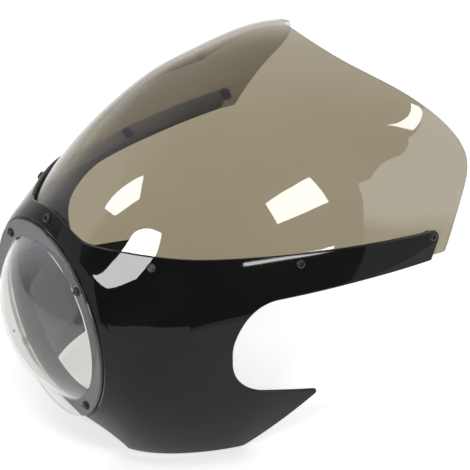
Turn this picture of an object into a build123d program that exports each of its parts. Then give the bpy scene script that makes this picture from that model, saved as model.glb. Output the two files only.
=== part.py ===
import os
from math import sqrt

from build123d import *

# Headlight cowl of a cafe racer: a moulded shell round the lamp, a smoked windscreen screwed inside
# its upper edge and a clear domed lens screwed to its front.
# Frame: the lamp axis is Y and the nose points to -Y, Z is up. The origin is the centre of the lamp
# opening, on the seat that the lens flange lies on. The two sides mirror each other about X = 0.
# All sizes are in millimetres.

# Front seat and lamp opening
seat_radius = 106.0
seat_step = 1.0
seat_thickness = 4.0
lamp_opening_radius = 85.0
lamp_rim_wall = 4.0
lamp_rim_depth = 21.5

# Lines of the body, as sections square to the lamp axis. Each row is the station along Y, the half
# width, the ridge height, the belt height, the keel depth, the rise of the bottom beside the keel, and
# the fullness of the upper and lower quarter curves, where 0.552 is an ellipse.
ROUND = 0.552
LINES = [
    (-12, 89.0, 89.0, -3.0, 87, 1, ROUND, ROUND),
    (0, seat_radius, seat_radius, 0, seat_radius, 2, ROUND, ROUND),
    (12, 121.0, 121.0, 4.0, 126, 6, 0.46, 0.57),
    (30, 134.0, 139.5, 9.0, 157, 11, 0.39, 0.60),
    (55, 146.5, 165.0, 13.5, 188, 15, 0.355, 0.61),
    (85, 158.5, 193.0, 17.0, 211, 15, 0.345, 0.61),
    (120, 169.5, 219.0, 19.5, 228, 15, 0.315, 0.61),
    (160, 179.5, 237.0, 21.0, 233, 15, 0.30, 0.61),
    (200, 187.5, 243.0, 22.0, 236, 15, 0.315, 0.61),
    (240, 193.5, 246.5, 22.0, 236, 15, 0.34, 0.61),
    (280, 198.0, 245.0, 22.0, 236, 15, 0.38, 0.61),
    (320, 200.5, 235.5, 22.0, 235, 15, 0.44, 0.61),
    (360, 200.0, 219.5, 22.0, 233, 15, 0.54, 0.61),
    (400, 198.0, 200.0, 22.0, 230, 15, 0.655, 0.61),
]
hull_floor = -145.0
side_reach = 260.0

# Walls
shell_wall = 4.0
screen_thickness = 3.0
screen_gap = 0.3

# Side outline of the shell, in Y and Z
nose_edge = (10.8, 130)
nose_corner = (13.8, 109.5)
nose_corner_radius = 9.0
seam_sag = 3.3
tail_top = (345.5, 76)
tail_bottom = (327, 48)
tail_top_radius = 7.0
tail_bottom_radius = 2.0
cutout_top = (160.5, 51)
cutout_upper_radius = 50.0
cutout_flank = 9.0
cutout_lower_radius = 46.0
horn_slope = 15.0
horn_tip = (204.5, -70)
horn_tip_radius = 3.5
skirt_rear = (134.5, -132.5)
skirt_rear_radius = 8.0
skirt_front = (34, -129.5)
skirt_front_radius = 4.0
chin_bend = (16.5, -105)
chin_front = (0, -88)

# Side outline of the windscreen, in Y and Z
screen_front = 5.2
screen_front_depth = 92.0
screen_lower_bend = (60, 76)
screen_lower_rear = (347, 48.5)
screen_lower_radius = 5.0
screen_rear = [(378, 97), (396, 131), (374, 174.5), (332, 207), (292, 241), (276, 262)]

# Lens
lens_radius = 104.0
lens_thickness = 3.0
dome_radius = 87.0
dome_height = 39.0
dome_foot_radius = 2.0
bolt_circle_radius = (dome_radius + lens_radius) / 2
lens_screw_count = 4
lens_screw_start = 45.0

# Fasteners
screw_diameter = 5.0
screw_hole_diameter = 5.5
screw_drill_length = 24.0
head_diameter = 9.5
head_height = 2.75
head_rim = 0.7
head_top_diameter = 5.6
head_crown = 0.9
recess_across_flats = 3.0
recess_depth = 1.6
shank_chamfer = 0.5
washer_diameter = 10.0
washer_thickness = 1.0
washer_relief = 0.2
nut_across_flats = 8.0
nut_height = 4.0
thread_end = 2.0
centre_screw_station = 6.0
side_screws = [(57.5, 93.5), (190, 79), (332, 71)]

# Body skin, lofted through the stations and left open below
with BuildPart() as hull:
    for station, half_width, ridge, belt, keel, rise, upper, lower in LINES:
        with BuildSketch(Plane.XZ.offset(-station)):
            with BuildLine():
                Bezier(
                    (0, -keel),
                    (half_width * lower, -keel + rise),
                    (half_width, belt - lower * (belt + keel)),
                    (half_width, belt),
                )
                Bezier(
                    (half_width, belt),
                    (half_width, belt + upper * (ridge - belt)),
                    (half_width * upper, ridge),
                    (0, ridge),
                )
                mirror(about=Plane.YZ)
            make_face()
    loft()
    split(bisect_by=Plane.XY.offset(hull_floor), keep=Keep.TOP)
skin = hull.faces().filter_by(GeomType.BSPLINE)[0]

# Screw frames on the skin, each with its Z axis pointing out of the body
screw_lines = [Axis((0, station, height), (1, 0, 0)) for station, height in side_screws]
hits = [hit for line in screw_lines for hit in skin.find_intersection_points(line)]
ridge_line = Axis((0, centre_screw_station, 0), (0, 0, 1))
hits.append(max(skin.find_intersection_points(ridge_line), key=lambda hit: hit[0].Z))
screw_planes = [
    Plane(origin=point, z_dir=normal if normal.dot(point) > 0 else -normal) for point, normal in hits
]

# Cowl shell
with BuildPart() as cowl_shell:
    thicken(skin, amount=-shell_wall)
    with BuildSketch(Plane.YZ) as side:
        with BuildLine():
            Line(nose_edge, nose_corner)
            SagittaArc(nose_corner, tail_top, -seam_sag)
            Line(tail_top, tail_bottom)
            under = Line(tail_bottom, cutout_top)
            upper_arc = JernArc(under @ 1, (-1, 0), cutout_upper_radius, 90)
            flank = Line(upper_arc @ 1, upper_arc @ 1 - (0, cutout_flank))
            lower_arc = JernArc(flank @ 1, flank % 1, cutout_lower_radius, 90 - horn_slope)
            Polyline(lower_arc @ 1, horn_tip, skirt_rear, skirt_front)
            ThreePointArc(skirt_front, chin_bend, chin_front)
            Polyline(chin_front, (chin_front[0], nose_edge[1]), nose_edge)
        make_face()
        for corner, radius in (
            (nose_corner, nose_corner_radius),
            (tail_top, tail_top_radius),
            (tail_bottom, tail_bottom_radius),
            (horn_tip, horn_tip_radius),
            (skirt_rear, skirt_rear_radius),
            (skirt_front, skirt_front_radius),
        ):
            fillet(side.vertices().sort_by_distance(Vector(*corner))[0], radius)
    extrude(amount=side_reach, both=True, mode=Mode.INTERSECT)
    with BuildSketch(Plane.XZ):
        Circle(seat_radius - seat_step)
        with Locations(chin_front):
            Rectangle(
                2 * seat_radius, seat_radius, align=(Align.CENTER, Align.MAX), mode=Mode.SUBTRACT
            )
    extrude(amount=-seat_thickness)
    with BuildSketch(Plane.XZ):
        Circle(lamp_opening_radius + lamp_rim_wall)
    extrude(amount=-lamp_rim_depth)
    with BuildSketch(Plane.XZ):
        Circle(lamp_opening_radius)
    extrude(amount=-lamp_rim_depth, mode=Mode.SUBTRACT)
    with BuildSketch(Plane.XZ):
        with PolarLocations(bolt_circle_radius, lens_screw_count, lens_screw_start):
            Circle(screw_hole_diameter / 2)
    extrude(amount=-seat_thickness, mode=Mode.SUBTRACT)
    with Locations(*screw_planes):
        Cylinder(screw_hole_diameter / 2, screw_drill_length, mode=Mode.SUBTRACT)

# Windscreen, cut from a thick wall along the bed that the shell and its gap leave for it
with BuildPart() as screen_bed:
    thicken(skin, amount=-(shell_wall + screen_gap))
bed = screen_bed.faces().filter_by(GeomType.OFFSET)[0]

with BuildPart() as windscreen:
    thicken(skin, amount=-(shell_wall + screen_gap + screen_thickness))
    with BuildSketch(Plane.YZ) as screen_side:
        with BuildLine():
            lower_edge = Polyline((screen_front, screen_front_depth), screen_lower_bend, screen_lower_rear)
            rear_edge = Spline(screen_lower_rear, *screen_rear)
            Polyline(rear_edge @ 1, (screen_front, screen_rear[-1][1]), lower_edge @ 0)
        make_face()
        lower_corner = screen_side.vertices().sort_by_distance(Vector(*screen_lower_rear))[0]
        fillet(lower_corner, screen_lower_radius)
    extrude(amount=side_reach, both=True, mode=Mode.INTERSECT)
    split(bisect_by=bed, keep=Keep.TOP)
    with Locations(*screw_planes):
        Cylinder(screw_hole_diameter / 2, screw_drill_length, mode=Mode.SUBTRACT)

# Headlight lens, turned about the lamp axis
dome_sphere = (dome_radius**2 + dome_height**2) / (2 * dome_height)
dome_apex = -(lens_thickness + dome_height)
dome_inside = sqrt((dome_sphere - lens_thickness) ** 2 - (dome_apex + dome_sphere) ** 2)
with BuildPart() as headlight_lens:
    with BuildSketch(Plane.XY) as lens_half:
        with BuildLine():
            RadiusArc((0, dome_apex), (dome_radius, -lens_thickness), -dome_sphere)
            Polyline(
                (dome_radius, -lens_thickness),
                (lens_radius, -lens_thickness),
                (lens_radius, 0),
                (dome_inside, 0),
            )
            RadiusArc((dome_inside, 0), (0, dome_apex + lens_thickness), dome_sphere - lens_thickness)
            Line((0, dome_apex + lens_thickness), (0, dome_apex))
        make_face()
        dome_foot = lens_half.vertices().sort_by_distance(Vector(dome_radius, -lens_thickness))[0]
        fillet(dome_foot, dome_foot_radius)
    revolve(axis=Axis.Y)
    with BuildSketch(Plane.XZ):
        with PolarLocations(bolt_circle_radius, lens_screw_count, lens_screw_start):
            Circle(screw_hole_diameter / 2)
    extrude(amount=lens_thickness, mode=Mode.SUBTRACT)


def button_screw(grip):
    """One button-head screw, its head above the XY plane and its shank below."""
    with BuildPart() as screw:
        with BuildSketch(Plane.XZ):
            with BuildLine():
                Polyline((0, head_height), (0, 0), (head_diameter / 2, 0), (head_diameter / 2, head_rim))
                ThreePointArc(
                    (head_diameter / 2, head_rim),
                    (head_crown * head_diameter / 2, (head_rim + head_height) / 2),
                    (head_top_diameter / 2, head_height),
                )
                Line((head_top_diameter / 2, head_height), (0, head_height))
            make_face()
        revolve(axis=Axis.Z)
        Cylinder(screw_diameter / 2, grip, align=(Align.CENTER, Align.CENTER, Align.MAX))
        chamfer(screw.edges().group_by(Axis.Z)[0], shank_chamfer)
        with BuildSketch(Plane.XY.offset(head_height)):
            RegularPolygon(recess_across_flats / 2, 6, major_radius=False)
        extrude(amount=-recess_depth, mode=Mode.SUBTRACT)
    return screw.part


def washer(top):
    """One flat washer whose upper face is at the height given."""
    with BuildPart() as ring:
        with BuildSketch(Plane.XY.offset(top)):
            Circle(washer_diameter / 2)
            Circle(screw_hole_diameter / 2, mode=Mode.SUBTRACT)
        extrude(amount=-washer_thickness)
    return ring.part


def nut(top):
    """One hexagon nut whose upper face is at the height given."""
    with BuildPart() as hexagon:
        with BuildSketch(Plane.XY.offset(top)):
            RegularPolygon(nut_across_flats / 2, 6, major_radius=False)
            Circle(screw_diameter / 2, mode=Mode.SUBTRACT)
        extrude(amount=-nut_height)
    return hexagon.part


# Fasteners of the lens, through the flange and the seat
lens_planes = [
    Plane(origin=spot.position + (0, -lens_thickness, 0), z_dir=(0, -1, 0))
    for spot in Plane.XZ * PolarLocations(bolt_circle_radius, lens_screw_count, lens_screw_start)
]
lens_stack = lens_thickness + seat_thickness
lens_screw = button_screw(lens_stack + washer_thickness + nut_height + thread_end)
lens_washer = washer(-lens_stack)
lens_nut = nut(-lens_stack - washer_thickness)
with BuildPart() as lens_screws:
    with Locations(*lens_planes):
        add(lens_screw)
with BuildPart() as lens_washers:
    with Locations(*lens_planes):
        add(lens_washer)
with BuildPart() as lens_nuts:
    with Locations(*lens_planes):
        add(lens_nut)

# Fasteners of the windscreen, through the shell and the screen
screen_stack = shell_wall + screen_gap + screen_thickness + washer_relief
screen_screw = button_screw(screen_stack + washer_thickness + nut_height + thread_end)
screen_washer = washer(-screen_stack)
screen_nut = nut(-screen_stack - washer_thickness)
with BuildPart() as windscreen_screws:
    with Locations(*screw_planes):
        add(screen_screw)
with BuildPart() as windscreen_washers:
    with Locations(*screw_planes):
        add(screen_washer)
with BuildPart() as windscreen_nuts:
    with Locations(*screw_planes):
        add(screen_nut)

os.makedirs("parts", exist_ok=True)
cowl_shell.part.label = "cowl_shell"
export_step(cowl_shell.part, "parts/cowl_shell.step")
windscreen.part.label = "windscreen"
export_step(windscreen.part, "parts/windscreen.step")
headlight_lens.part.label = "headlight_lens"
export_step(headlight_lens.part, "parts/headlight_lens.step")
lens_screws.part.label = "lens_screws"
export_step(lens_screws.part, "parts/lens_screws.step")
lens_washers.part.label = "lens_washers"
export_step(lens_washers.part, "parts/lens_washers.step")
lens_nuts.part.label = "lens_nuts"
export_step(lens_nuts.part, "parts/lens_nuts.step")
windscreen_screws.part.label = "windscreen_screws"
export_step(windscreen_screws.part, "parts/windscreen_screws.step")
windscreen_washers.part.label = "windscreen_washers"
export_step(windscreen_washers.part, "parts/windscreen_washers.step")
windscreen_nuts.part.label = "windscreen_nuts"
export_step(windscreen_nuts.part, "parts/windscreen_nuts.step")
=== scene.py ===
import math

import bpy
import numpy as np
from mathutils import Matrix, Quaternion, Vector
from mathutils.geometry import delaunay_2d_cdt


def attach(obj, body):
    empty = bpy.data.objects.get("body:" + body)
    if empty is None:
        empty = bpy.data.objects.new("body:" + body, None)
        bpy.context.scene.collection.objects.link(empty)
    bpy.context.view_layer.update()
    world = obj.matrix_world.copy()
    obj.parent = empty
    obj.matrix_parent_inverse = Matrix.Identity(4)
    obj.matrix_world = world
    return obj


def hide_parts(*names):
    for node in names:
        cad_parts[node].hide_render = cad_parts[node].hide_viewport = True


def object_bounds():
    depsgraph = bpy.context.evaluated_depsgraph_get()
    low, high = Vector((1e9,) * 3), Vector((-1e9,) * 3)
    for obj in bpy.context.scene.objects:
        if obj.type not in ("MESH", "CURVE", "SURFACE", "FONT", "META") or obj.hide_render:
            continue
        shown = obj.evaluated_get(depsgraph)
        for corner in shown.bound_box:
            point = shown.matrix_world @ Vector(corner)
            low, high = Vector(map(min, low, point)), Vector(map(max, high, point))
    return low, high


# Looks of the headlight cowl. The three mouldings are meshed finely from the same lines as the solids,
# with rounded edges, and stand for them. The screws, washers and nuts are the solids themselves.
# Geometry below is in millimetres until it becomes a mesh, which is in metres.

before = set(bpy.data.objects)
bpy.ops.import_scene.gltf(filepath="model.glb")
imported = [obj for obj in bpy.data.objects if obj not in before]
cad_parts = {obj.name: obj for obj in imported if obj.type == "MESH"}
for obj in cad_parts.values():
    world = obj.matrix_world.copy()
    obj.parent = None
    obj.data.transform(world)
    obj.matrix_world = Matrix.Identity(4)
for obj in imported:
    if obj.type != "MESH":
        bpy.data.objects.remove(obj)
cad_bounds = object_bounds()

MM = 0.001
# Handle of a curve that turns a quarter circle, as a share of its radius
ROUND = 0.552

# Station, half width, ridge, belt, keel, rise beside the keel, upper and lower fullness
LINES = np.array(
    [
        (-12, 89.0, 89.0, -3.0, 87, 1, ROUND, ROUND),
        (0, 106.0, 106.0, 0, 106.0, 2, ROUND, ROUND),
        (12, 121.0, 121.0, 4.0, 126, 6, 0.46, 0.57),
        (30, 134.0, 139.5, 9.0, 157, 11, 0.39, 0.60),
        (55, 146.5, 165.0, 13.5, 188, 15, 0.355, 0.61),
        (85, 158.5, 193.0, 17.0, 211, 15, 0.345, 0.61),
        (120, 169.5, 219.0, 19.5, 228, 15, 0.315, 0.61),
        (160, 179.5, 237.0, 21.0, 233, 15, 0.30, 0.61),
        (200, 187.5, 243.0, 22.0, 236, 15, 0.315, 0.61),
        (240, 193.5, 246.5, 22.0, 236, 15, 0.34, 0.61),
        (280, 198.0, 245.0, 22.0, 236, 15, 0.38, 0.61),
        (320, 200.5, 235.5, 22.0, 235, 15, 0.44, 0.61),
        (360, 200.0, 219.5, 22.0, 233, 15, 0.54, 0.61),
        (400, 198.0, 200.0, 22.0, 230, 15, 0.655, 0.61),
    ]
)
# Columns of a line's width, ridge and keel, once the station is taken off
WIDTH_RIDGE_KEEL = [0, 1, 3]
# Height of a point that lies inside every section
CORE_HEIGHT = 20.0

SHELL_WALL = 4.0
SCREEN_INSET = 4.4
SCREEN_WALL = 2.9
# Radii of the rounded edges, and the angle between the rows of their mesh
SHELL_LIP = 1.7
SCREEN_LIP = 1.2
LIP_STEP = 15
# Mesh spacing inside a wall and along its edge, and the share of it kept clear beside the edge
GRID = 4.0
EDGE_STEP = 1.5
CLEARANCE = 0.55
# Length that one unit of way round a section stands for when a wall is meshed
SPAN = 200.0
# Points closer than this on a loop count as one
SHORTEST = 0.2
# Steps of a bisection, and of a rounded corner in an outline and in a profile
BISECTIONS = 45
CORNER_STEPS = 12
PROFILE_STEPS = 6


class Spline:
    """A natural cubic spline through the values at the stations."""

    def __init__(self, at, values):
        self.at = np.asarray(at, float)
        self.values = np.asarray(values, float)
        gap = np.diff(self.at)
        n = len(self.at)
        matrix = np.eye(n)
        side = np.zeros(self.values.shape)
        for i in range(1, n - 1):
            matrix[i, i - 1 : i + 2] = gap[i - 1], 2 * (gap[i - 1] + gap[i]), gap[i]
            rise = (self.values[i + 1] - self.values[i]) / gap[i]
            side[i] = 6 * (rise - (self.values[i] - self.values[i - 1]) / gap[i - 1])
        self.bend = np.linalg.solve(matrix, side)

    def __call__(self, where):
        where = np.asarray(where, float)
        i = np.clip(np.searchsorted(self.at, where) - 1, 0, len(self.at) - 2)
        gap = self.at[i + 1] - self.at[i]
        a = (self.at[i + 1] - where) / gap
        b = 1 - a
        if self.values.ndim > 1:
            a, b, gap = a[..., None], b[..., None], gap[..., None]
        bent = ((a**3 - a) * self.bend[i] + (b**3 - b) * self.bend[i + 1]) * gap**2 / 6
        return a * self.values[i] + b * self.values[i + 1] + bent


body_lines = Spline(LINES[:, 0], LINES[:, 1:])


class Skin:
    """The body's surface, or one set in from it. A point is its station and its way round the section,
    which is 0 on the ridge, 1 on the belt and 2 on the keel, and negative on the left."""

    def __init__(self, inset=0.0):
        self.inset = inset

    def sizes(self, y):
        here = body_lines(y)
        if self.inset:
            half = 0.5
            slope = (body_lines(y + half) - body_lines(y - half))[..., WIDTH_RIDGE_KEEL] / (2 * half)
            here = here.copy()
            here[..., WIDTH_RIDGE_KEEL] -= self.inset * np.sqrt(1 + slope**2)
        return np.moveaxis(here, -1, 0)

    def section(self, y, way):
        width, ridge, belt, keel, rise, upper, lower = self.sizes(y)
        a = np.abs(way)
        t = np.clip(1 - a, 0, 1)
        s = np.clip(a - 1, 0, 1)
        p, q = 1 - t, 1 - s
        x_up = width * (p**3 + 3 * p * p * t + 3 * p * t * t * upper)
        z_up = belt + (ridge - belt) * (3 * p * p * t * upper + 3 * p * t * t + t**3)
        x_low = width * (q**3 + 3 * q * q * s + 3 * q * s * s * lower)
        drop = belt + keel
        z_low = belt - drop * (3 * q * q * s * lower + 3 * q * s * s + s**3) + 3 * q * s * s * rise
        return np.where(a <= 1, x_up, x_low) * np.sign(way), np.where(a <= 1, z_up, z_low)

    def points(self, p):
        x, z = self.section(p[:, 0], p[:, 1])
        return np.stack([x, p[:, 0], z], axis=1)

    def along(self, p):
        """The two tangents of the surface at each point."""
        step_y, step_way = 0.25, 0.002
        h, k = np.array([step_y, 0.0]), np.array([0.0, step_way])
        return (
            (self.points(p + h) - self.points(p - h)) / (2 * step_y),
            (self.points(p + k) - self.points(p - k)) / (2 * step_way),
        )

    def normals(self, p):
        by_y, by_way = self.along(p)
        n = np.cross(by_y, by_way)
        n /= np.linalg.norm(n, axis=1)[:, None]
        spot = self.points(p)
        out = spot[:, 0] * n[:, 0] + (spot[:, 2] - CORE_HEIGHT) * n[:, 2]
        return n * np.where(out < 0, -1, 1)[:, None]

    def way(self, y, z):
        """The way round, on the right, of the points at these stations and heights."""
        low, high = np.zeros(len(y)), np.full(len(y), 2.0)
        for _ in range(BISECTIONS):
            mid = (low + high) / 2
            below = self.section(y, mid)[1] < z
            high = np.where(below, mid, high)
            low = np.where(below, low, mid)
        return (low + high) / 2


def line(a, b, step=0.25):
    """Points along a straight line, without its end."""
    n = max(2, int(math.dist(a, b) / step))
    return [tuple(np.array(a) + (np.array(b) - a) * i / n) for i in range(n)]


def arc(centre, radius, start, end, step=2.0):
    """Points along an arc between two angles in degrees, without its end."""
    n = max(2, int(abs(end - start) / step))
    turns = [math.radians(start + (end - start) * i / n) for i in range(n)]
    return [(centre[0] + radius * math.cos(t), centre[1] + radius * math.sin(t)) for t in turns]


def three_point_arc(a, m, b, n=120):
    """An arc from a to b through m, by its circle, without its end."""
    (ax, ay), (mx, my), (bx, by) = a, m, b
    d = 2 * (ax * (my - by) + mx * (by - ay) + bx * (ay - my))
    a2, m2, b2 = ax * ax + ay * ay, mx * mx + my * my, bx * bx + by * by
    cx = (a2 * (my - by) + m2 * (by - ay) + b2 * (ay - my)) / d
    cy = (a2 * (bx - mx) + m2 * (ax - bx) + b2 * (mx - ax)) / d
    t0, tm, t1 = (math.atan2(p[1] - cy, p[0] - cx) for p in (a, m, b))
    sweep = (t1 - t0) % math.tau
    if (tm - t0) % math.tau > sweep:
        sweep -= math.tau
    r = math.hypot(ax - cx, ay - cy)
    return [
        (cx + r * math.cos(t0 + sweep * i / n), cy + r * math.sin(t0 + sweep * i / n)) for i in range(n)
    ]


def rounded(path, corner, radius):
    """The path with a corner on it replaced by an arc."""
    path = np.array(path)
    reading_distance = radius * 0.6
    k = int(np.argmin(np.linalg.norm(path - corner, axis=1)))
    c = path[k]

    def heading(step):
        j = k
        while np.linalg.norm(path[j % len(path)] - c) < reading_distance:
            j += step
        d = path[j % len(path)] - c
        return d / np.linalg.norm(d)

    u, v = heading(-1), heading(1)
    half = math.acos(float(np.clip(u @ v, -1, 1))) / 2
    reach = radius / math.tan(half)
    middle = (u + v) / np.linalg.norm(u + v) * radius / math.sin(half) + c
    start, end = c + u * reach - middle, c + v * reach - middle
    blend = []
    for i in range(CORNER_STEPS + 1):
        w = i / CORNER_STEPS
        d = start * (1 - w) + end * w
        blend.append(middle + d / np.linalg.norm(d) * radius)
    keep = np.linalg.norm(path - c, axis=1) > reach
    before = [i for i in range(k) if keep[i]]
    after = [i for i in range(k, len(path)) if keep[i]]
    return np.concatenate([path[before], blend, path[after]])


def even(points, step):
    """Indices, as fractions, of evenly spaced places along an open run of 3-D points."""
    gaps = np.linalg.norm(np.diff(points, axis=0), axis=1)
    total = np.concatenate([[0], np.cumsum(gaps)])
    n = max(2, int(total[-1] / step))
    return np.interp(np.linspace(0, total[-1], n + 1), total, np.arange(len(points)))


def on_skin(skin, outline):
    """A side outline, in Y and Z, as an evenly spaced path on the right half of a skin. It starts where the
    outline crosses the ridge."""
    outline = np.array(outline)
    ridge = skin.sizes(outline[:, 0])[1]
    inside = outline[:, 1] < ridge
    way = np.where(inside, skin.way(outline[:, 0], outline[:, 1]), 0.0)
    keep = inside.copy()
    first = np.flatnonzero(inside)[0]
    last = np.flatnonzero(inside)[-1]
    keep[max(first - 1, 0)] = True
    keep[min(last + 1, len(outline) - 1)] = True
    p = np.stack([outline[keep, 0], way[keep]], axis=1)
    at = even(skin.points(p), EDGE_STEP)
    return np.stack([np.interp(at, np.arange(len(p)), p[:, i]) for i in (0, 1)], axis=1)


def both_sides(right):
    """A loop from its right half, which starts and ends on the ridge."""
    return np.concatenate([right, (right[1:-1] * (1, -1))[::-1]])


def tidy(loop):
    """The loop without repeated points, running anticlockwise."""
    step = np.linalg.norm((loop - np.roll(loop, 1, axis=0)) * (1, SPAN), axis=1)
    loop = loop[step > SHORTEST]
    x, y = loop[:, 0], loop[:, 1]
    area = np.sum(x * np.roll(y, -1) - np.roll(x, -1) * y)
    return loop if area > 0 else loop[::-1]


def within(points, loop):
    """Which of the points lie inside a loop."""
    inside = np.zeros(len(points), bool)
    x, y = points[:, 0], points[:, 1]
    for (x0, y0), (x1, y1) in zip(loop, np.roll(loop, -1, axis=0)):
        if y0 != y1:
            inside ^= ((y0 > y) != (y1 > y)) & (x < (x1 - x0) * (y - y0) / (y1 - y0) + x0)
    return inside


def sheet(skin, loop, wall, lip):
    """Vertices, normals and faces of a wall on a skin, inside a loop, with its edges rounded all round."""
    loop = tidy(loop)
    spot, n = skin.points(loop), skin.normals(loop)
    run = np.roll(loop, -1, axis=0) - np.roll(loop, 1, axis=0)
    out = np.stack([run[:, 1] * SPAN, -run[:, 0] / SPAN], axis=1)
    by_y, by_way = skin.along(loop)
    ahead = by_y * run[:, :1] + by_way * run[:, 1:]
    ahead /= np.linalg.norm(ahead, axis=1)[:, None]
    b = by_y * out[:, :1] + by_way * out[:, 1:]
    b -= ahead * np.sum(ahead * b, axis=1)[:, None]
    b /= np.linalg.norm(b, axis=1)[:, None]
    yy, ww, yw = (np.sum(p * q, axis=1) for p, q in ((by_y, by_y), (by_way, by_way), (by_y, by_way)))
    yb, wb = np.sum(by_y * b, axis=1), np.sum(by_way * b, axis=1)
    det = yy * ww - yw * yw
    inset = loop - lip * np.stack([(yb * ww - wb * yw) / det, (wb * yy - yb * yw) / det], axis=1)

    edge = inset * (1, SPAN)
    low, high = edge.min(0), edge.max(0)
    across = np.arange(low[0] + GRID / 2, high[0], GRID)
    round_way = np.arange(low[1] + GRID / 2, high[1], GRID)
    mesh_y, mesh_w = np.meshgrid(across, round_way, indexing="ij")
    mesh_y[:, ::2] += GRID / 2
    field = np.stack([mesh_y.ravel(), mesh_w.ravel()], axis=1)
    field = field[within(field, edge)]
    near = np.zeros(len(field), bool)
    for point in edge:
        near |= np.sum((field - point) ** 2, axis=1) < (CLEARANCE * GRID) ** 2
    field = field[~near]
    flat = np.concatenate([edge, field])
    m = len(edge)
    rim = [(i, (i + 1) % m) for i in range(m)]
    inside_only, merge_distance = 1, 1e-6
    verts2, _, faces, origin, _, _ = delaunay_2d_cdt(
        [Vector(p) for p in flat], rim, [], inside_only, merge_distance
    )
    place = np.array([tuple(v) for v in verts2]) / (1, SPAN)
    tris = np.array([f for f in faces if len(f) == 3])

    outer, outer_n = skin.points(place), skin.normals(place)
    inner = outer - outer_n * wall
    first = outer[tris[0]]
    if np.cross(first[1] - first[0], first[2] - first[0]) @ outer_n[tris[0][0]] < 0:
        tris = tris[:, ::-1]
    v = len(outer)
    verts, normals = [outer, inner], [outer_n, -outer_n]
    polygons = [tuple(t) for t in tris] + [tuple(v + i for i in t[::-1]) for t in tris]

    number = np.full(m, -1)
    for i, sources in enumerate(origin):
        for source in sources:
            if source < m:
                number[source] = i
    rows = [number]
    outer_turns, inner_turns = range(90 - LIP_STEP, -1, -LIP_STEP), range(0, -90, -LIP_STEP)
    for depth, turns in ((lip, outer_turns), (wall - lip, inner_turns)):
        for turn in turns:
            c, s = math.cos(math.radians(turn)), math.sin(math.radians(turn))
            verts.append(spot - lip * b - depth * n + lip * (c * b + s * n))
            normals.append(c * b + s * n)
            rows.append(2 * v + (len(rows) - 1) * m + np.arange(m))
    rows.append(v + number)
    verts, normals = np.concatenate(verts), np.concatenate(normals)
    strip = []
    for a, c in zip(rows, rows[1:]):
        for i in range(m):
            j = (i + 1) % m
            strip.append((int(a[i]), int(c[i]), int(c[j]), int(a[j])))
    quad = strip[len(strip) // 2]
    facing = np.cross(verts[quad[1]] - verts[quad[0]], verts[quad[2]] - verts[quad[0]])
    if facing @ normals[quad[0]] < 0:
        strip = [q[::-1] for q in strip]
    return verts, normals, polygons + strip


def turned(profile, segments=160, lowest=-1000.0):
    """A closed profile, in radius and Y, turned about the lamp axis and cut off flat at the lowest height.
    Its normals follow the profile."""
    profile = np.array(profile)
    run = np.roll(profile, -1, axis=0) - np.roll(profile, 1, axis=0)
    out = np.stack([run[:, 1], -run[:, 0]], axis=1)
    x, y = profile[:, 0], profile[:, 1]
    if np.sum(x * np.roll(y, -1) - np.roll(x, -1) * y) < 0:
        out = -out
    out /= np.linalg.norm(out, axis=1)[:, None]
    verts, normals, faces = [], [], []
    count = len(profile)
    for i in range(segments):
        c, s = math.cos(math.tau * i / segments), math.sin(math.tau * i / segments)
        reach = np.minimum(x, lowest / s) if s < 0 else x
        verts.append(np.stack([reach * c, y, reach * s], axis=1))
        normals.append(np.stack([out[:, 0] * c, out[:, 1], out[:, 0] * s], axis=1))
        j = (i + 1) % segments
        for k in range(count):
            nxt = (k + 1) % count
            faces.append((i * count + k, j * count + k, j * count + nxt, i * count + nxt))
    verts, normals = np.concatenate(verts), np.concatenate(normals)
    quad = faces[count // 2]
    facing = np.cross(verts[quad[1]] - verts[quad[0]], verts[quad[2]] - verts[quad[0]])
    if facing @ normals[quad[0]] < 0:
        faces = [f[::-1] for f in faces]
    return verts, normals, faces


def soft_corners(points, radii):
    """A closed profile with each corner rounded by its radius, or left sharp at 0."""
    points = [np.array(p, float) for p in points]
    result = []
    for i, (p, radius) in enumerate(zip(points, radii)):
        if not radius:
            result.append(p)
            continue
        u, v = points[i - 1] - p, points[(i + 1) % len(points)] - p
        u, v = u / np.linalg.norm(u), v / np.linalg.norm(v)
        half = math.acos(float(np.clip(u @ v, -1, 1))) / 2
        middle = p + (u + v) / np.linalg.norm(u + v) * radius / math.sin(half)
        start, end = p + u * radius / math.tan(half) - middle, p + v * radius / math.tan(half) - middle
        for k in range(PROFILE_STEPS + 1):
            d = start * (1 - k / PROFILE_STEPS) + end * k / PROFILE_STEPS
            result.append(middle + d / np.linalg.norm(d) * radius)
    return result


def piece(name, parts, look, node):
    """One mesh object made of the parts, standing for a node of the solids."""
    verts, normals, faces, base = [], [], [], 0
    for v, n, f in parts:
        verts.append(v)
        normals.append(n)
        faces += [tuple(int(i) + base for i in face) for face in f]
        base += len(v)
    mesh = bpy.data.meshes.new(name)
    mesh.from_pydata((np.concatenate(verts) * MM).tolist(), [], faces)
    mesh.polygons.foreach_set("use_smooth", [True] * len(mesh.polygons))
    mesh.normals_split_custom_set_from_vertices(np.concatenate(normals).tolist())
    mesh.materials.append(look)
    obj = bpy.data.objects.new(name, mesh)
    bpy.context.scene.collection.objects.link(obj)
    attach(obj, "root")
    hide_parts(node)


def material(name):
    """A new node material, with its nodes, links and shader."""
    made = bpy.data.materials.new(name)
    made.use_nodes = True
    return made, made.node_tree.nodes, made.node_tree.links, made.node_tree.nodes["Principled BSDF"]


def noise(nodes, links, scale, detail=3.0):
    """Noise over the object's own coordinates."""
    place = nodes.new("ShaderNodeTexCoord")
    texture = nodes.new("ShaderNodeTexNoise")
    texture.inputs["Scale"].default_value = scale
    texture.inputs["Detail"].default_value = detail
    links.new(place.outputs["Object"], texture.inputs["Vector"])
    return texture.outputs["Fac"]


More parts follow.
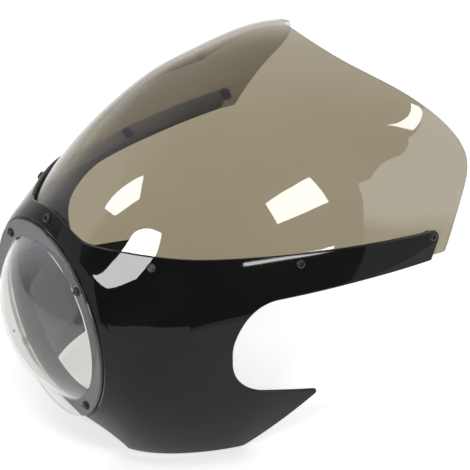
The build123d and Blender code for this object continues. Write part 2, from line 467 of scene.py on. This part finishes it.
def along_direction(nodes, links, coordinates, direction):
    """How far each point lies along a direction."""
    place = nodes.new("ShaderNodeTexCoord")
    product = nodes.new("ShaderNodeVectorMath")
    product.operation = "DOT_PRODUCT"
    product.inputs[1].default_value = direction
    links.new(place.outputs[coordinates], product.inputs[0])
    return product.outputs["Value"]


def grey(value):
    return (value, value, value)


def ramp(nodes, links, source, low, high, start=0.3, end=0.7):
    """A colour that runs from low to high as the source runs from start to end."""
    node = nodes.new("ShaderNodeValToRGB")
    node.color_ramp.elements[0].position = start
    node.color_ramp.elements[1].position = end
    node.color_ramp.elements[0].color = (*low, 1)
    node.color_ramp.elements[1].color = (*high, 1)
    links.new(source, node.inputs["Fac"])
    return node.outputs["Color"]


def bump(nodes, links, source, shader, strength, distance):
    node = nodes.new("ShaderNodeBump")
    node.inputs["Strength"].default_value = strength
    node.inputs["Distance"].default_value = distance
    links.new(source, node.inputs["Height"])
    links.new(node.outputs["Normal"], shader.inputs["Normal"])


# Materials
gloss_black, nodes, links, shader = material("gloss_black")
shader.inputs["IOR"].default_value = 1.31
cloud = noise(nodes, links, scale=14)
links.new(ramp(nodes, links, cloud, grey(0.003), (0.006, 0.006, 0.0055)), shader.inputs["Base Color"])
links.new(ramp(nodes, links, cloud, grey(0.01), grey(0.04)), shader.inputs["Roughness"])
ripple = noise(nodes, links, scale=60, detail=1.0)
bump(nodes, links, ripple, shader, strength=0.02, distance=0.0004)

smoke, nodes, links, shader = material("smoke_tint")
shader.inputs["Transmission Weight"].default_value = 1.0
shader.inputs["IOR"].default_value = 1.45
shader.inputs["Roughness"].default_value = 0.0
cloud = noise(nodes, links, scale=6)
darker, paler = (0.277, 0.239, 0.162), (0.297, 0.257, 0.176)
links.new(ramp(nodes, links, cloud, darker, paler), shader.inputs["Base Color"])

clear, nodes, links, shader = material("clear_lens")
shader.inputs["Transmission Weight"].default_value = 0.945
shader.inputs["IOR"].default_value = 1.47
cloud = noise(nodes, links, scale=20)
darker, paler = (0.85, 0.85, 0.83), (0.89, 0.89, 0.87)
links.new(ramp(nodes, links, cloud, darker, paler), shader.inputs["Base Color"])
links.new(ramp(nodes, links, cloud, grey(0.0), grey(0.04)), shader.inputs["Roughness"])

black_steel, nodes, links, shader = material("black_steel")
shader.inputs["Metallic"].default_value = 0.2
grain = noise(nodes, links, scale=400)
links.new(ramp(nodes, links, grain, grey(0.005), grey(0.012)), shader.inputs["Base Color"])
links.new(ramp(nodes, links, grain, grey(0.08), grey(0.16)), shader.inputs["Roughness"])

black_washer, nodes, links, shader = material("black_washer")
shader.inputs["Metallic"].default_value = 0.4
grain = noise(nodes, links, scale=300)
links.new(ramp(nodes, links, grain, grey(0.02), grey(0.04)), shader.inputs["Base Color"])
links.new(ramp(nodes, links, grain, grey(0.3), grey(0.5)), shader.inputs["Roughness"])

# Shell outline, from the ridge down the nose, back along the seam and round to the chin
nose_edge, nose_corner = (10.8, 130.0), (13.8, 109.5)
tail_top, tail_bottom = (345.5, 76.0), (327.0, 48.0)
cutout_top, horn_tip = (160.5, 51.0), (204.5, -70.0)
skirt_rear, skirt_front = (134.5, -132.5), (34.0, -129.5)
chin_bend, chin_front = (16.5, -105.0), (0.0, -88.0)
seam_sag = 3.3
seam_middle = ((nose_corner[0] + tail_top[0]) / 2, (nose_corner[1] + tail_top[1]) / 2 - seam_sag)
cutout_upper_radius, cutout_flank, cutout_lower_radius = 50.0, 9.0, 46.0
horn_slope = 15.0
upper_centre = (cutout_top[0], cutout_top[1] - cutout_upper_radius)
flank_top = (cutout_top[0] - cutout_upper_radius, upper_centre[1])
flank_bottom = (flank_top[0], flank_top[1] - cutout_flank)
lower_centre = (flank_bottom[0] + cutout_lower_radius, flank_bottom[1])
lower_arc = arc(lower_centre, cutout_lower_radius, 180, 270 - horn_slope)
shell_side = (
    line(nose_edge, nose_corner, step=0.05)
    + three_point_arc(nose_corner, seam_middle, tail_top, n=900)
    + line(tail_top, tail_bottom)
    + line(tail_bottom, cutout_top)
    + arc(upper_centre, cutout_upper_radius, 90, 180)
    + line(flank_top, flank_bottom)
    + lower_arc
    + line(lower_arc[-1], horn_tip)
    + line(horn_tip, skirt_rear)
    + line(skirt_rear, skirt_front)
    + three_point_arc(skirt_front, chin_bend, chin_front, n=300)
    + [chin_front]
)
for corner, radius in (
    (nose_corner, 9.0),
    (tail_top, 7.0),
    (tail_bottom, 2.0),
    (horn_tip, 3.5),
    (skirt_rear, 8.0),
    (skirt_front, 4.0),
):
    shell_side = rounded(shell_side, corner, radius)
shell_skin = Skin()
right = on_skin(shell_skin, shell_side)
front_points = 120
front_ways = np.linspace(right[-1, 1], 0, front_points)[1:]
front = np.stack([np.zeros(len(front_ways)), front_ways], axis=1)
shell_loop = both_sides(np.concatenate([right, front]))
# Radii of the seat ring inside, at its front and at its rear, and its thickness
seat_inside, seat_front, seat_rear, seat_thickness = 86, 105.4, 103.0, 4.0
seat_corners = [
    (seat_inside, 0.0),
    (seat_front, 0.0),
    (seat_rear, seat_thickness),
    (seat_inside, seat_thickness),
]
seat_ring = soft_corners(seat_corners, [0, 0.3, 0, 0])
opening_radius, rim_radius, rim_depth = 85, 88.9, 21.5
rim_corners = [
    (opening_radius, 0.0),
    (rim_radius, 0.0),
    (rim_radius, rim_depth),
    (opening_radius, rim_depth),
]
lamp_rim = soft_corners(rim_corners, [0.6, 0, 1.2, 1.2])
piece(
    "shell_moulding",
    [
        sheet(shell_skin, shell_loop, SHELL_WALL, SHELL_LIP),
        turned(seat_ring, lowest=chin_front[1]),
        turned(lamp_rim),
    ],
    gloss_black,
    "cowl_shell",
)

# Windscreen outline, from the ridge at the rear down its rear edge, forward and up to the ridge again
lower_rear, lower_bend = (347, 48.5), (60, 76)
front_bottom, front_top = (5.2, 92), (5.2, 112)
lower_rear_radius = 5.0
rear_points = np.array(
    [lower_rear, (378, 97), (395.7, 131), (374, 174.5), (332, 207), (292, 241), (276, 262)]
)
rear_steps = 1600
chord = np.concatenate([[0], np.cumsum(np.linalg.norm(np.diff(rear_points, axis=0), axis=1))])
rear_edge = Spline(chord, rear_points)(np.linspace(chord[-1], 0, rear_steps))
screen_side = (
    [tuple(p) for p in rear_edge]
    + line(lower_rear, lower_bend)
    + line(lower_bend, front_bottom)
    + line(front_bottom, front_top, step=0.02)
)
screen_side = rounded(screen_side, lower_rear, lower_rear_radius)
screen_skin = Skin(SCREEN_INSET)
screen_loop = both_sides(on_skin(screen_skin, screen_side))
piece(
    "smoke_screen",
    [sheet(screen_skin, screen_loop, SCREEN_WALL, SCREEN_LIP)],
    smoke,
    "windscreen",
)

# Lens
lens_radius, lens_thickness = 104, 3.0
dome_radius, dome_height, dome_foot_radius = 87.0, 39.0, 2.0
dome_steps = 60
# The profile starts a hair's breadth off the axis
apex_angle = 0.02
sphere = (dome_radius**2 + dome_height**2) / (2 * dome_height)
sphere_centre = sphere - (lens_thickness + dome_height)
tilt = math.degrees(math.asin(dome_radius / sphere))
inner_sphere = sphere - lens_thickness
inner_tilt = math.degrees(math.acos(sphere_centre / inner_sphere))


def dome(radius, start, end):
    """Points on a sphere of the dome, in radius and Y, between two angles from its apex in degrees."""
    turns = [math.radians(a) for a in np.linspace(start, end, dome_steps)]
    return [(radius * math.sin(t), sphere_centre - radius * math.cos(t)) for t in turns]


outer_dome = dome(sphere, apex_angle, tilt)
inner_dome = dome(inner_sphere, inner_tilt, apex_angle)
flange_corners = [
    outer_dome[-2],
    outer_dome[-1],
    (lens_radius, -lens_thickness),
    (lens_radius, 0.0),
    inner_dome[0],
]
flange = soft_corners(flange_corners, [0, dome_foot_radius, 0.8, 0.4, 0])
lens_profile = outer_dome[:-2] + flange + inner_dome[1:]
piece("clear_lens", [turned(lens_profile)], clear, "headlight_lens")

# Fasteners keep their solids
for name, look in (
    ("lens_screws", black_steel),
    ("lens_nuts", black_steel),
    ("windscreen_screws", black_steel),
    ("windscreen_nuts", black_steel),
    ("lens_washers", black_washer),
    ("windscreen_washers", black_washer),
):
    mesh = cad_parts[name].data
    mesh.materials.clear()
    mesh.materials.append(look)

# Floor
floor_mesh = bpy.data.meshes.new("floor")
floor_gap, reach = 0.0002, 12.0
floor_height = cad_bounds[0][2] - floor_gap
corners = [(-reach, -reach), (reach, -reach), (reach, reach), (-reach, reach)]
floor_mesh.from_pydata([(x, y, floor_height) for x, y in corners], [], [(0, 1, 2, 3)])
floor = bpy.data.objects.new("floor", floor_mesh)
bpy.context.scene.collection.objects.link(floor)
floor_look, nodes, links, shader = material("floor_white")
shader.inputs["Base Color"].default_value = (*grey(0.8), 1)
shader.inputs["Roughness"].default_value = 1.0
shader.inputs["Specular IOR Level"].default_value = 0.0
shader.inputs["Emission Color"].default_value = (*grey(0.42), 1)
# The glow is seen by the camera and in gloss and glass, and adds no light elsewhere
light_path = nodes.new("ShaderNodeLightPath")
seen = light_path.outputs["Is Camera Ray"]
for ray in ("Is Glossy Ray", "Is Transmission Ray"):
    either = nodes.new("ShaderNodeMath")
    either.operation = "MAXIMUM"
    links.new(seen, either.inputs[0])
    links.new(light_path.outputs[ray], either.inputs[1])
    seen = either.outputs[0]
links.new(seen, shader.inputs["Emission Strength"])
floor_mesh.materials.append(floor_look)

# World, brighter behind and to the left. Reflections also see a soft glow overhead.
world = bpy.data.worlds.new("studio")
bpy.context.scene.world = world
world.use_nodes = True
nodes, links = world.node_tree.nodes, world.node_tree.links
left_and_back = along_direction(nodes, links, "Generated", (-0.75, 0.55, 0.35))
sky = ramp(nodes, links, left_and_back, grey(0.078), grey(0.78), start=0.0, end=0.9)
upward = along_direction(nodes, links, "Generated", (-0.55, 0.1, 0.83))
overhead = ramp(nodes, links, upward, grey(0.0), (0.64, 0.67, 0.78), start=0.4, end=0.75)
light_path = nodes.new("ShaderNodeLightPath")
lighter = nodes.new("ShaderNodeMixRGB")
lighter.blend_type = "LIGHTEN"
links.new(light_path.outputs["Is Glossy Ray"], lighter.inputs["Fac"])
links.new(sky, lighter.inputs["Color1"])
links.new(overhead, lighter.inputs["Color2"])
links.new(lighter.outputs["Color"], nodes["Background"].inputs["Color"])
nodes["Background"].inputs["Strength"].default_value = 1.8

# Soft boxes and white walls, each by its radiance and its corners in metres. The camera looks past them.
PANELS = {
    "front_high": (
        22,
        [
            (0.118, -0.097, 0.392),
            (0.13, -0.114, 0.372),
            (0.143, -0.125, 0.356),
            (0.115, -0.151, 0.341),
            (0.095, -0.165, 0.334),
            (0.036, -0.174, 0.337),
            (0.036, -0.169, 0.342),
            (0.049, -0.157, 0.353),
            (0.07, -0.14, 0.367),
        ],
    ),
    "front_low": (30, [(0.86, -1.58, 1.69), (1.39, -1.24, 1.65), (1.49, -1.38, 1.44), (1.27, -1.53, 1.47)]),
    "side_high": (22, [(1.91, 0.63, 1.7), (2.13, 0.66, 1.41), (2.17, 0.38, 1.38), (2.02, 0.37, 1.6)]),
    "side_low": (28, [(2.31, 0.1, 1.1), (2.4, 0.68, 0.85), (2.41, 0.68, 0.81), (2.34, 0.1, 1.06)]),
    "rear_high": (20, [(0.52, 1.87, 2.0), (0.56, 1.89, 1.98), (1.37, 1.41, 1.92), (1.31, 1.36, 1.98)]),
    "rear_wall": (
        3.8,
        [
            (2.6, 0.82, -0.13),
            (2.41, 0.83, 1.06),
            (2.13, 0.87, 1.53),
            (2.1, 1.0, 1.53),
            (1.91, 1.17, 1.69),
            (1.6, 1.34, 1.92),
            (0.71, 1.88, 2.07),
            (0.45, 2.1, 2.05),
            (1.38, 1.82, 1.86),
            (2.0, 1.72, 1.3),
            (2.25, 1.8, -0.13),
        ],
    ),
    "nose_wall": (
        1.05,
        [
            (0.1, -1.83, -0.13),
            (0.1, -1.83, 1.58),
            (0.7, -1.72, 1.58),
            (0.95, -1.62, 1.58),
            (1.03, -1.89, 1.19),
            (0.99, -2.07, 0.88),
            (0.91, -2.25, 0.1),
            (0.91, -2.25, -0.13),
        ],
    ),
    "low_sweep": (
        1.3,
        [
            (1.17, -2.14, -0.13),
            (1.17, -2.14, 0.14),
            (1.64, -1.79, 0.46),
            (1.93, -1.44, 0.61),
            (2.08, -1.27, 0.54),
            (2.19, -1.14, 0.42),
            (2.31, -0.95, 0.27),
            (2.42, -0.71, 0.1),
            (2.42, -0.71, -0.13),
        ],
    ),
    "left_wall": (
        1.05,
        [(0.1, -1.8, -0.1), (0.1, -1.68, 1.79), (-0.3, -1.44, 2.0), (-1.05, -1.5, 1.7), (-1.2, -1.75, -0.1)],
    ),
}
# The foot of the rear wall has only a share of its radiance, which grows along a slanted direction
FADED_WALL, FOOT_SHARE = "rear_wall", 0.25
FADE_DIRECTION, FADE_START, FADE_END = (0, 0.5, 0.333), 0.71, 0.82
for name, (radiance, corners) in PANELS.items():
    panel_mesh = bpy.data.meshes.new(name)
    panel_mesh.from_pydata(corners, [], [tuple(range(len(corners)))])
    glow, nodes, links, shader = material(name)
    shader.inputs["Base Color"].default_value = (*grey(0), 1)
    shader.inputs["Specular IOR Level"].default_value = 0.0
    shader.inputs["Emission Color"].default_value = (*grey(1), 1)
    if name == FADED_WALL:
        slant = along_direction(nodes, links, "Object", FADE_DIRECTION)
        fade = ramp(nodes, links, slant, grey(FOOT_SHARE), grey(1.0), FADE_START, FADE_END)
        links.new(fade, shader.inputs["Emission Color"])
    shader.inputs["Emission Strength"].default_value = radiance
    panel_mesh.materials.append(glow)
    panel = bpy.data.objects.new(name, panel_mesh)
    panel.visible_camera = False
    panel.visible_transmission = False
    bpy.context.scene.collection.objects.link(panel)

# Camera, fitted to the photograph: its turn as an axis times an angle, its place in metres, and its focal
# length and image width in pixels
CAMERA_TURN = (1.93018, 1.02444, -0.61012)
CAMERA_PLACE = (1.65844, -0.81779, 1.22068)
FOCAL_PIXELS, IMAGE_PIXELS = 2200, 470
SENSOR_WIDTH = 36.0
turn = Vector(CAMERA_TURN)
axes = Quaternion(turn.normalized(), turn.length).to_matrix()
right_way, up_way, back_way = axes[0], -axes[1], -axes[2]
camera_data = bpy.data.cameras.new("camera")
camera_data.sensor_width = SENSOR_WIDTH
camera_data.lens = FOCAL_PIXELS / IMAGE_PIXELS * SENSOR_WIDTH
camera = bpy.data.objects.new("camera", camera_data)
pose = Matrix((right_way, up_way, back_way)).transposed().to_4x4()
pose.translation = Vector(CAMERA_PLACE)
camera.matrix_world = pose
bpy.context.scene.collection.objects.link(camera)
bpy.context.scene.camera = camera
bpy.context.scene.view_settings.view_transform = "Standard"
